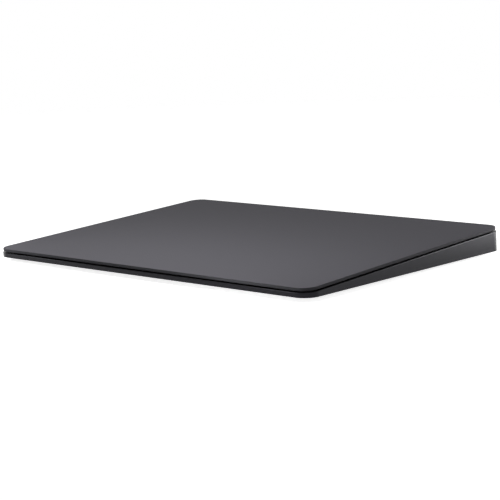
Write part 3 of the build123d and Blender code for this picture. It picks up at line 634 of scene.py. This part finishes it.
def copyToPoints(tree, enter, part, scale=(1, 1, 1)):
    # one copy on every point, turned by the point's own angle, then placed in the model in metres
    turn = addNode(tree, "GeometryNodeInputNamedAttribute", data_type="FLOAT", Name="turn")
    copies = addGeometry(tree, "InstanceOnPoints", {
        "Points": enter["Points"], "Instance": part, "Scale": scale,
        "Rotation": makeVector(tree, 0, 0, turn.outputs["Attribute"]),
    })
    placed = addGeometry(tree, "Transform", {
        "Geometry": copies, "Rotation": makeVector(tree, enter["Tilt"], 0, 0), "Scale": (mm, mm, mm)
    })
    return addGeometry(tree, "RealizeInstances", {"Geometry": placed})


def paintCopies(tree, enter, leave, copies, selection=True):
    painted = addGeometry(tree, "SetMaterial", {
        "Geometry": copies, "Selection": selection, "Material": enter["Material"]
    })
    plug(tree, leave["Geometry"], painted)


def growPiece(name, tree, spots, values, body, slot, tilt=0.0, replaced=()):
    # spots are x, y, z and the angle of each copy; the result is a plain mesh that rides on its body
    start = bpy.data.meshes.new(name + "_points")
    start.from_pydata([spot[:3] for spot in spots], [], [])
    turns = start.attributes.new("turn", "FLOAT", "POINT")
    turns.data.foreach_set("value", [spot[3] for spot in spots])
    piece = bpy.data.objects.new(name, start)
    bpy.context.scene.collection.objects.link(piece)
    modifier = piece.modifiers.new("grow", "NODES")
    modifier.node_group = tree
    values = {**values, "Tilt": tilt, "Material": materials[slot]}
    for item in tree.interface.items_tree:
        if item.in_out == "INPUT" and item.name in values:
            modifier[item.identifier] = values[item.name]
    ready = piece.evaluated_get(bpy.context.evaluated_depsgraph_get())
    mesh = bpy.data.meshes.new_from_object(ready)
    mesh.name = name
    piece.modifiers.clear()
    piece.data = mesh
    bpy.data.meshes.remove(start)
    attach(piece, body)
    if replaced:
        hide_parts(*replaced)


def placesInFrame(name, tilt):
    turn = Matrix.Rotation(-tilt, 3, "X")
    return [turn @ vertex.co / mm for vertex in nodes[name].data.vertices]


def boxAround(places):
    return [Vector([pick(place[i] for place in places) for i in range(3)]) for pick in (min, max)]


def splitByReach(places, reach):
    # sorts the vertices of a group of separate solids into one list for each solid
    groups = []
    for place in places:
        for group in groups:
            if (group[0].xy - place.xy).length < reach:
                group.append(place)
                break
        else:
            groups.append([place])
    return groups


# screws

screwSizes = {
    "Head Radius": 1.15,
    "Head Height": 0.3,
    "Head Dome": 0.2,
    "Head Sides": 32,
    "Head Rings": 5,
    "Shank Radius": 0.6,
    "Shank Length": 1.1,
    "Shank Overlap": 0.02,
    "Shank Sides": 16,
    "Shank Rings": 30,
    "Point Length": 0.3,
    "Point Width": 0.6,
    "Thread Pitch": 0.3,
    "Thread Depth": 0.1,
    "Drive Radius": 0.5,
    "Drive Depth": 0.16,
    "Drive Lobe": 0.16,
    "Drive Lobes": 6.0,
    "Drive Sides": 48,
}
screwReach = 2.5   # head radii that one screw covers
screwTurn = 0.7    # turn from one screw's recess to the next, in radians
screwTilts = {     # how the seat is tilted
    "flexure_screws": deckSlope,
    "haptic_screws": deckSlope,
    "board_screws": 0.0,
    "port_screws": deckSlope,
}


def buildScrewTree(sizes):
    # a domed head with a lobed recess, on a threaded shank with a short point
    tree, enter, leave = newPieceTree("domedScrew", sizes)
    x, y, z = readPlace(tree)
    angle = addMath(tree, "ARCTAN2", y, x)

    def scaleAcross(factor, newHeight):
        return makeVector(
            tree, addMath(tree, "MULTIPLY", x, factor), addMath(tree, "MULTIPLY", y, factor), newHeight
        )

    height = enter["Head Height"]
    blank = addGeometry(tree, "MeshCylinder", {
        "Vertices": enter["Head Sides"], "Side Segments": enter["Head Rings"],
        "Radius": enter["Head Radius"], "Depth": height,
    })
    rise = addMath(tree, "MULTIPLY_ADD", height, 0.5, z)
    share = addMath(tree, "DIVIDE", rise, height)
    cubed = addMath(tree, "POWER", addMath(tree, "MAXIMUM", share, 0.0), 3.0)
    narrow = addMath(tree, "SUBTRACT", 1.0, addMath(tree, "MULTIPLY", cubed, enter["Head Dome"]))
    head = addGeometry(tree, "SetPosition", {"Geometry": blank, "Position": scaleAcross(narrow, rise)})

    punch = addGeometry(tree, "MeshCylinder", {
        "Vertices": enter["Drive Sides"], "Radius": enter["Drive Radius"],
        "Depth": addMath(tree, "MULTIPLY", enter["Drive Depth"], 2.0),
    })
    wave = addMath(tree, "COSINE", addMath(tree, "MULTIPLY", angle, enter["Drive Lobes"]))
    lobe = addMath(tree, "MULTIPLY_ADD", wave, enter["Drive Lobe"], 1.0)
    lobed = scaleAcross(lobe, addMath(tree, "ADD", z, height))
    punch = addGeometry(tree, "SetPosition", {"Geometry": punch, "Position": lobed})
    head = addGeometry(
        tree, "MeshBoolean", {"Mesh 1": head, "Mesh 2": punch}, operation="DIFFERENCE", solver="EXACT"
    )

    length = enter["Shank Length"]
    rod = addGeometry(tree, "MeshCylinder", {
        "Vertices": enter["Shank Sides"], "Side Segments": enter["Shank Rings"],
        "Radius": enter["Shank Radius"], "Depth": length,
    })
    turns = addMath(tree, "DIVIDE", z, enter["Thread Pitch"])
    phase = addMath(tree, "ADD", turns, addMath(tree, "DIVIDE", angle, math.tau))
    ridge = addMath(tree, "ABSOLUTE", addMath(tree, "SUBTRACT", addMath(tree, "FRACT", phase), 0.5))
    cut = addMath(tree, "MULTIPLY", ridge, addMath(tree, "MULTIPLY", enter["Thread Depth"], 2.0))
    down = addMath(tree, "MULTIPLY_ADD", length, 0.5, z)
    point = addRange(tree, down, 0.0, enter["Point Length"], enter["Point Width"], 1.0)
    width = addMath(tree, "MULTIPLY", addMath(tree, "SUBTRACT", 1.0, cut), point)
    sunk = addMath(tree, "SUBTRACT", down, addMath(tree, "SUBTRACT", length, enter["Shank Overlap"]))
    shank = addGeometry(tree, "SetPosition", {"Geometry": rod, "Position": scaleAcross(width, sunk)})

    screw = roundShading(tree, joinGeometry(tree, head, shank))
    paintCopies(tree, enter, leave, copyToPoints(tree, enter, screw))
    return tree


screwTree = buildScrewTree(screwSizes)
for node, tilt in screwTilts.items():
    spots = []
    for group in splitByReach(placesInFrame(node, tilt), screwReach * screwSizes["Head Radius"]):
        low, high = boxAround(group)
        middle = (low + high) / 2
        seat = high.z - screwSizes["Head Height"]
        spots.append((middle.x, middle.y, seat, screwTurn * len(spots)))
        shankLength = seat - low.z
    values = {**screwSizes, "Shank Length": shankLength}
    growPiece(node + "_domed", screwTree, spots, values, "base", slotOf[node], tilt, [node])
    print("screws:", node, len(spots))


# coils

coilSizes = {
    "Width": 17.0,
    "Depth": 12.0,
    "Height": 0.8,
    "Winding": 3.2,
    "Outer Corner": 2.4,
    "Inner Corner": 0.6,
    "Corner Steps": 4,
    "Wire": 0.2,
    "Wire Sides": 6,
    "Turns": 16,
    "Layers": 4,
}


def buildCoilTree(sizes):
    # flat turns of wire, each inside the one before, in layers
    tree, enter, leave = newPieceTree("flatWinding", sizes)
    wire = enter["Wire"]
    gaps = addMath(tree, "SUBTRACT", enter["Turns"], 1.0)
    pitch = addMath(tree, "DIVIDE", addMath(tree, "SUBTRACT", enter["Winding"], wire), gaps)
    start = tree.nodes.new("GeometryNodeRepeatInput")
    end = tree.nodes.new("GeometryNodeRepeatOutput")
    start.pair_with_output(end)
    plug(tree, start.inputs["Iterations"], enter["Turns"])
    turn = start.outputs["Iteration"]
    inset = addMath(tree, "MULTIPLY_ADD", addMath(tree, "MULTIPLY", turn, pitch), 2.0, wire)
    corner = addRange(tree, turn, 0.0, gaps, enter["Outer Corner"], enter["Inner Corner"])
    outline = addGeometry(tree, "CurvePrimitiveQuadrilateral", {
        "Width": addMath(tree, "SUBTRACT", enter["Width"], inset),
        "Height": addMath(tree, "SUBTRACT", enter["Depth"], inset),
    })
    loop = addGeometry(tree, "FilletCurve", {
        "Curve": outline, "Count": enter["Corner Steps"], "Radius": corner
    }, mode="POLY")
    tree.links.new(joinGeometry(tree, start.outputs["Geometry"], loop), end.inputs["Geometry"])
    profile = addGeometry(tree, "CurvePrimitiveCircle", {
        "Resolution": enter["Wire Sides"], "Radius": addMath(tree, "MULTIPLY", wire, 0.5)
    })
    layer = addGeometry(tree, "CurveToMesh", {"Curve": end.outputs["Geometry"], "Profile Curve": profile})
    layer = addGeometry(tree, "SetShadeSmooth", {"Geometry": layer, "Shade Smooth": True})
    spread = addMath(tree, "SUBTRACT", enter["Height"], wire)
    rise = addMath(tree, "DIVIDE", spread, addMath(tree, "SUBTRACT", enter["Layers"], 1.0))
    stack = addGeometry(tree, "MeshLine", {
        "Count": enter["Layers"],
        "Start Location": makeVector(tree, 0, 0, addMath(tree, "MULTIPLY", spread, -0.5)),
        "Offset": makeVector(tree, 0, 0, rise),
    })
    coil = addGeometry(tree, "InstanceOnPoints", {"Points": stack, "Instance": layer})
    paintCopies(tree, enter, leave, copyToPoints(tree, enter, coil))
    return tree


coilTree = buildCoilTree(coilSizes)
for side in ("left", "right"):
    low, high = boxAround(placesInFrame("coil_" + side, deckSlope))
    spots = [(*((low + high) / 2), 0.0)]
    growPiece(
        "coil_winding_" + side, coilTree, spots, coilSizes, "base", "copper", deckSlope, ["coil_" + side]
    )
print("coils wound")


# bent metal strips: spring contacts in the charging port, and the legs of plugs and sockets

springSizes = {
    "Width": 0.35,
    "Length": 3.6,
    "Thickness": 0.07,
    "Rise": 0.0,
    "Bow": 0.18,
    "Segments": 16,
}
springCount = 8
legSizes = {
    "Width": 0.2,
    "Length": 0.5,
    "Thickness": 0.07,
    "Rise": 0.3,
    "Bow": 0.0,
    "Segments": 6,
}
legPitch = 0.5
stripShape = {   # shares of the strip's length, from its back end
    "stepStart": 0.25,
    "stepEnd": 0.75,
    "bowStart": 0.4,
    "bowTurn": 0.85 * math.pi,   # how much of a half wave the bow takes
}


def buildStripTree(sizes):
    # a strip from back to front along y, that rises in one step or bows up near its front end
    tree, enter, leave = newPieceTree("bentStrip", sizes)
    sheet = addGeometry(tree, "MeshGrid", {
        "Size X": enter["Width"], "Size Y": enter["Length"],
        "Vertices X": 2, "Vertices Y": enter["Segments"],
    })
    x, y, z = readPlace(tree)
    share = addMath(tree, "ADD", addMath(tree, "DIVIDE", y, enter["Length"]), 0.5)
    climb = addRange(tree, share, stripShape["stepStart"], stripShape["stepEnd"], smooth=True)
    step = addMath(tree, "MULTIPLY", climb, enter["Rise"])
    wave = addRange(tree, share, stripShape["bowStart"], 1.0, 0.0, stripShape["bowTurn"])
    height = addMath(tree, "MULTIPLY_ADD", addMath(tree, "SINE", wave), enter["Bow"], step)
    bent = addGeometry(tree, "SetPosition", {"Geometry": sheet, "Offset": makeVector(tree, 0, 0, height)})
    strip = roundShading(tree, closeSheet(tree, bent, enter["Thickness"]))
    paintCopies(tree, enter, leave, copyToPoints(tree, enter, strip))
    return tree


stripTree = buildStripTree(legSizes)
low, high = boxAround(placesInFrame("port_contacts", deckSlope))
spots = []
room = high.x - low.x - springSizes["Width"]
for i in range(springCount):
    column = low.x + springSizes["Width"] / 2 + room * i / (springCount - 1)
    spots.append((column, (low.y + high.y) / 2, low.z, 0.0))
growPiece(
    "spring_contacts", stripTree, spots, springSizes, "base", "gold_contact", deckSlope, ["port_contacts"]
)


def legSpots(places, reach):
    # legs along both long sides of every connector, from the board up to its side
    spots = []
    for group in splitByReach(places, reach):
        low, high = boxAround(group)
        count = int((high.x - low.x - legPitch) / legPitch)
        for i in range(count):
            column = (low.x + high.x) / 2 + (i - (count - 1) / 2) * legPitch
            spots.append((column, low.y - legSizes["Length"] / 2, low.z, 0.0))
            spots.append((column, high.y + legSizes["Length"] / 2, low.z, math.pi))
    return spots


legSets = {   # body, how the board's outer side is tilted, and a reach that covers one connector
    "board_plugs": ("base", math.pi, 6.0),
    "board_socket": ("base", 0.0, 9.0),
    "sensor_connector": ("touch_plate", deckSlope + math.pi, 9.0),
}
for node, (body, tilt, reach) in legSets.items():
    spots = legSpots(placesInFrame(node, tilt), reach)
    growPiece(node + "_legs", stripTree, spots, legSizes, body, "gold_contact", tilt)
    print("legs:", node, len(spots))


# small ceramic parts with tinned ends, where the boards have room

ceramicSizes = {
    "Length": 1.0,
    "Width": 0.5,
    "Height": 0.45,
    "End": 0.22,
    "End Step": 0.03,
    "Corner": 0.05,
    "Seed": 7,
}
ceramicSmallest = (0.6, 0.65, 0.55)   # share of the full length, width and height
ceramicTurned = 0.35                  # share that stands across the others
ceramicAreas = {
    "logic": {
        "board": "logic_board", "body": "base", "tilt": 0.0, "step": (1.7, 1.35),
        "margin": 1.0, "keep": 0.55, "clearance": 0.75, "around": None, "seed": 3,
    },
    "sensor": {
        "board": "sensor_board", "body": "touch_plate", "tilt": deckSlope + math.pi, "step": (1.6, 1.35),
        "margin": 1.0, "keep": 0.6, "clearance": 0.75, "around": ("touch_controller", 3.4), "seed": 5,
    },
}


def addBlock(tree, length, width, height, corner):
    # a closed upright block with cut corners
    outline = addGeometry(tree, "CurvePrimitiveQuadrilateral", {"Width": length, "Height": width})
    outline = addGeometry(tree, "FilletCurve", {
        "Curve": outline, "Count": 1, "Radius": corner
    }, mode="POLY")
    return closeSheet(tree, addGeometry(tree, "FillCurve", {"Curve": outline}, mode="NGONS"), height)


def buildCeramicTree(sizes):
    tree, enter, leave = newPieceTree("endCappedBlock", sizes)
    tree.interface.new_socket(name="End Material", in_out="INPUT", socket_type="NodeSocketMaterial")
    length, width, height, step = (enter[label] for label in ("Length", "Width", "Height", "End Step"))
    core = addBlock(tree, addMath(tree, "SUBTRACT", length, step), width, height, enter["Corner"])
    endWidth = addMath(tree, "ADD", width, step)
    endHeight = addMath(tree, "ADD", height, step)
    end = addBlock(tree, enter["End"], endWidth, endHeight, enter["Corner"])
    end = addGeometry(tree, "SetMaterial", {"Geometry": end, "Material": enter["End Material"]})
    outward = addMath(tree, "MULTIPLY", addMath(tree, "SUBTRACT", length, enter["End"]), 0.5)
    ends = [
        addGeometry(tree, "Transform", {
            "Geometry": end, "Translation": makeVector(tree, addMath(tree, "MULTIPLY", outward, side), 0, 0)
        })
        for side in (-1.0, 1.0)
    ]
    chance = addNode(tree, "FunctionNodeRandomValue", data_type="FLOAT_VECTOR")
    plug(tree, chance.inputs["Min"], ceramicSmallest)
    plug(tree, chance.inputs["Max"], (1.0, 1.0, 1.0))
    plug(tree, chance.inputs["Seed"], enter["Seed"])
    copies = copyToPoints(tree, enter, joinGeometry(tree, core, *ends), chance.outputs["Value"])
    ended = addGeometry(tree, "MaterialSelection", {"Material": enter["End Material"]})
    paintCopies(tree, enter, leave, copies, addMath(tree, "SUBTRACT", 1.0, ended))
    return tree


def freeSpots(area):
    # a loose grid on the board's outer side, without the places where another piece is near
    own = area["board"]
    turn = Matrix.Rotation(-area["tilt"], 3, "X")
    corners, faces = [], []
    for name, node in nodes.items():
        if name != own:
            first = len(corners)
            corners += [turn @ vertex.co / mm for vertex in node.data.vertices]
            faces += [[first + i for i in polygon.vertices] for polygon in node.data.polygons]
    others = BVHTree.FromPolygons(corners, faces)
    low, high = boxAround(placesInFrame(own, area["tilt"]))
    base = high.z
    if area["around"]:
        centre, reach = area["around"]
        low, high = boxAround(placesInFrame(centre, area["tilt"]))
        low, high = low - Vector((reach, reach, 0)), high + Vector((reach, reach, 0))
    dice = random.Random(area["seed"])
    spots = []
    margin, (stepX, stepY) = area["margin"], area["step"]
    columns = int((high.x - low.x - 2 * margin) / stepX)
    rows = int((high.y - low.y - 2 * margin) / stepY)
    for column in range(columns + 1):
        for row in range(rows + 1):
            x = low.x + margin + column * stepX
            y = low.y + margin + row * stepY
            kept = dice.random() < area["keep"]
            turned = math.pi / 2 if dice.random() < ceramicTurned else 0.0
            middle = Vector((x, y, base + ceramicSizes["Height"] / 2))
            if kept and others.find_nearest(middle, area["clearance"])[0] is None:
                spots.append((x, y, base, turned))
    return spots


ceramicTree = buildCeramicTree(ceramicSizes)
for name, area in ceramicAreas.items():
    spots = freeSpots(area)
    values = {**ceramicSizes, "End Material": materials["zinc_steel"]}
    growPiece(name + "_ceramics", ceramicTree, spots, values, area["body"], "white_ceramic", area["tilt"])
    print("ceramic parts:", name, len(spots))


# springs and the folded cable: the springs are cut into short lengths over the part that bends, and the cable is
# copied whole

bendSizes = {
    "clamped": 69.5,     # mm from the middle of the pad: a leaf spring stands still beyond this
    "free": 61.0,        # and moves with the gel pad inside this
    "lengths": 12,       # short lengths that the bending part is cut into
    "cableLow": 4.9,     # the fold of the cable gives way between these heights
    "cableHigh": 6.9,
    "weld": 0.001,       # corners nearer than this become one
}


def copyOfNode(node, keepSide=0):
    # the merged mesh of a CAD node, whole or only its left (-1) or right (1) half
    shape = bmesh.new()
    shape.from_mesh(nodes[node].data)
    bmesh.ops.remove_doubles(shape, verts=shape.verts, dist=bendSizes["weld"] * mm)
    if keepSide:
        other = [vertex for vertex in shape.verts if vertex.co.x * keepSide < 0]
        bmesh.ops.delete(shape, geom=other, context="VERTS")
    return shape


def finishBend(name, shape, node):
    # the new piece takes the node's place, in the material of the node's slot
    slot = slotOf[node]
    mesh = bpy.data.meshes.new(name)
    shape.to_mesh(mesh)
    shape.free()
    mesh.materials.append(materials[slot])
    piece = bpy.data.objects.new(name, mesh)
    bpy.context.scene.collection.objects.link(piece)
    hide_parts(node)
    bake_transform(piece)


def bendLeaf(name, node, side):
    start = (side * bendSizes["clamped"] * mm, 0, 0)
    end = (side * bendSizes["free"] * mm, 0, 0)
    shape = copyOfNode(node, side)
    for i in range(bendSizes["lengths"] + 1):
        cut = Vector(start).lerp(Vector(end), i / bendSizes["lengths"])
        everything = [*shape.verts, *shape.edges, *shape.faces]
        bmesh.ops.bisect_plane(
            shape, geom=everything, dist=weldDistance * mm, plane_co=cut, plane_no=(1, 0, 0)
        )
    finishBend(name, shape, node)


for side, sign in (("left", -1), ("right", 1)):
    for end in ("front", "rear"):
        bendLeaf(f"leaf_spring_{end}_{side}", f"flexure_{end}_{side}", sign)
    bendLeaf("spring_gauges_" + side, "strain_gauges", sign)
finishBend(
    "folded_cable", copyOfNode("touch_ribbon"), "touch_ribbon",
)


# floor, lamps and world

floorSetup = {
    "drop": 0.05 * mm,       # just below the feet
    "radius": 0.9,
    "solidRadius": 0.4,      # beyond this the floor fades into the white background
    "colour": (0.80, 0.80, 0.80),
    "roughness": 0.9,
    "specular": 0.0,
    "lift": 0.85,            # added for what the camera and the reflections see
}


def makeFloor(setup):
    # fades out towards its rim, and is clear from below so that the feet can be seen
    data = bpy.data.meshes.new("studioFloor")
    r, z = setup["radius"], -setup["drop"]
    data.from_pydata([(-r, -r, z), (r, -r, z), (r, r, z), (-r, r, z)], [], [(0, 1, 2, 3)])
    floor = bpy.data.objects.new("studioFloor", data)
    bpy.context.scene.collection.objects.link(floor)
    material, tree, shader, vector = newMaterial("palePaper", setup)
    light = tree.nodes.new("ShaderNodeLightPath").outputs
    seen = addMath(tree, "MAXIMUM", light["Is Camera Ray"], light["Is Glossy Ray"])
    shader.inputs["Emission Color"].default_value = (1, 1, 1, 1)
    plug(tree, shader.inputs["Emission Strength"], addMath(tree, "MULTIPLY", seen, setup["lift"]))
    distance = addVectorMath(tree, "LENGTH", vector)
    fade = addRange(tree, distance, setup["solidRadius"], setup["radius"], smooth=True)
    under = tree.nodes.new("ShaderNodeNewGeometry").outputs["Backfacing"]
    clear = tree.nodes.new("ShaderNodeBsdfTransparent")
    blend = tree.nodes.new("ShaderNodeMixShader")
    plug(tree, blend.inputs["Fac"], addMath(tree, "MAXIMUM", fade, under))
    plug(tree, blend.inputs[1], shader.outputs["BSDF"])
    plug(tree, blend.inputs[2], clear.outputs["BSDF"])
    plug(tree, tree.nodes["Material Output"].inputs["Surface"], blend.outputs["Shader"])
    data.materials.append(material)


lamps = {
    "strip": {   # over the front edge, so that the glass gets lighter towards it
        "place": (0.012, -0.056, 0.095), "aim": (0.012, -0.056, 0),
        "size": (0.160, 0.034), "power": 0.125,
    },
    "rearLeft": {
        "place": (-0.5, 0.3, 0.5), "aim": (0, 0, 0), "size": (0.3, 0.3), "power": 1.25,
    },
    "rightRear": {   # makes the right side lighter towards the rear
        "place": (0.140, 0.130, 0.026), "aim": (0.080, 0.045, 0.004),
        "size": (0.060, 0.044), "power": 0.20,
    },
    "leftEnd": {
        "place": (-0.096, -0.084, 0.026), "aim": (-0.075, -0.057, 0.003),
        "size": (0.016, 0.012), "power": 0.016,
    },
    "nearEnd": {
        "place": (0.040, -0.092, 0.008), "aim": (0.074, -0.057, 0.003),
        "size": (0.016, 0.010), "power": 0.010,
    },
}


def hangLamp(name, lamp):
    data = bpy.data.lights.new(name, "AREA")
    data.shape = "RECTANGLE"
    data.size, data.size_y = lamp["size"]
    data.energy = lamp["power"]
    place = Vector(lamp["place"])
    light = bpy.data.objects.new(name, data)
    light.location = place
    light.rotation_euler = (place - Vector(lamp["aim"])).to_track_quat("Z", "Y").to_euler()
    light.visible_camera = False
    bpy.context.scene.collection.objects.link(light)


worldSetup = {
    "lighting": 0.15,     # for rays that light a surface
    "background": 1.0,    # for what the camera, reflections and clear pieces see
}


def makeWorld(setup):
    world = bpy.data.worlds.new("studioWorld")
    world.use_nodes = True
    tree = world.node_tree
    shader = tree.nodes["Background"]
    light = tree.nodes.new("ShaderNodeLightPath").outputs
    near = addMath(tree, "MAXIMUM", light["Is Camera Ray"], light["Is Transmission Ray"])
    seen = addMath(tree, "MAXIMUM", near, light["Is Glossy Ray"])
    strength = addRange(tree, seen, 0.0, 1.0, setup["lighting"], setup["background"])
    plug(tree, shader.inputs["Strength"], strength)
    shader.inputs["Color"].default_value = (1, 1, 1, 1)
    bpy.context.scene.world = world


makeFloor(floorSetup)
for name, lamp in lamps.items():
    hangLamp(name, lamp)
makeWorld(worldSetup)
bpy.context.scene.view_settings.view_transform = "Standard"
print("studio built")
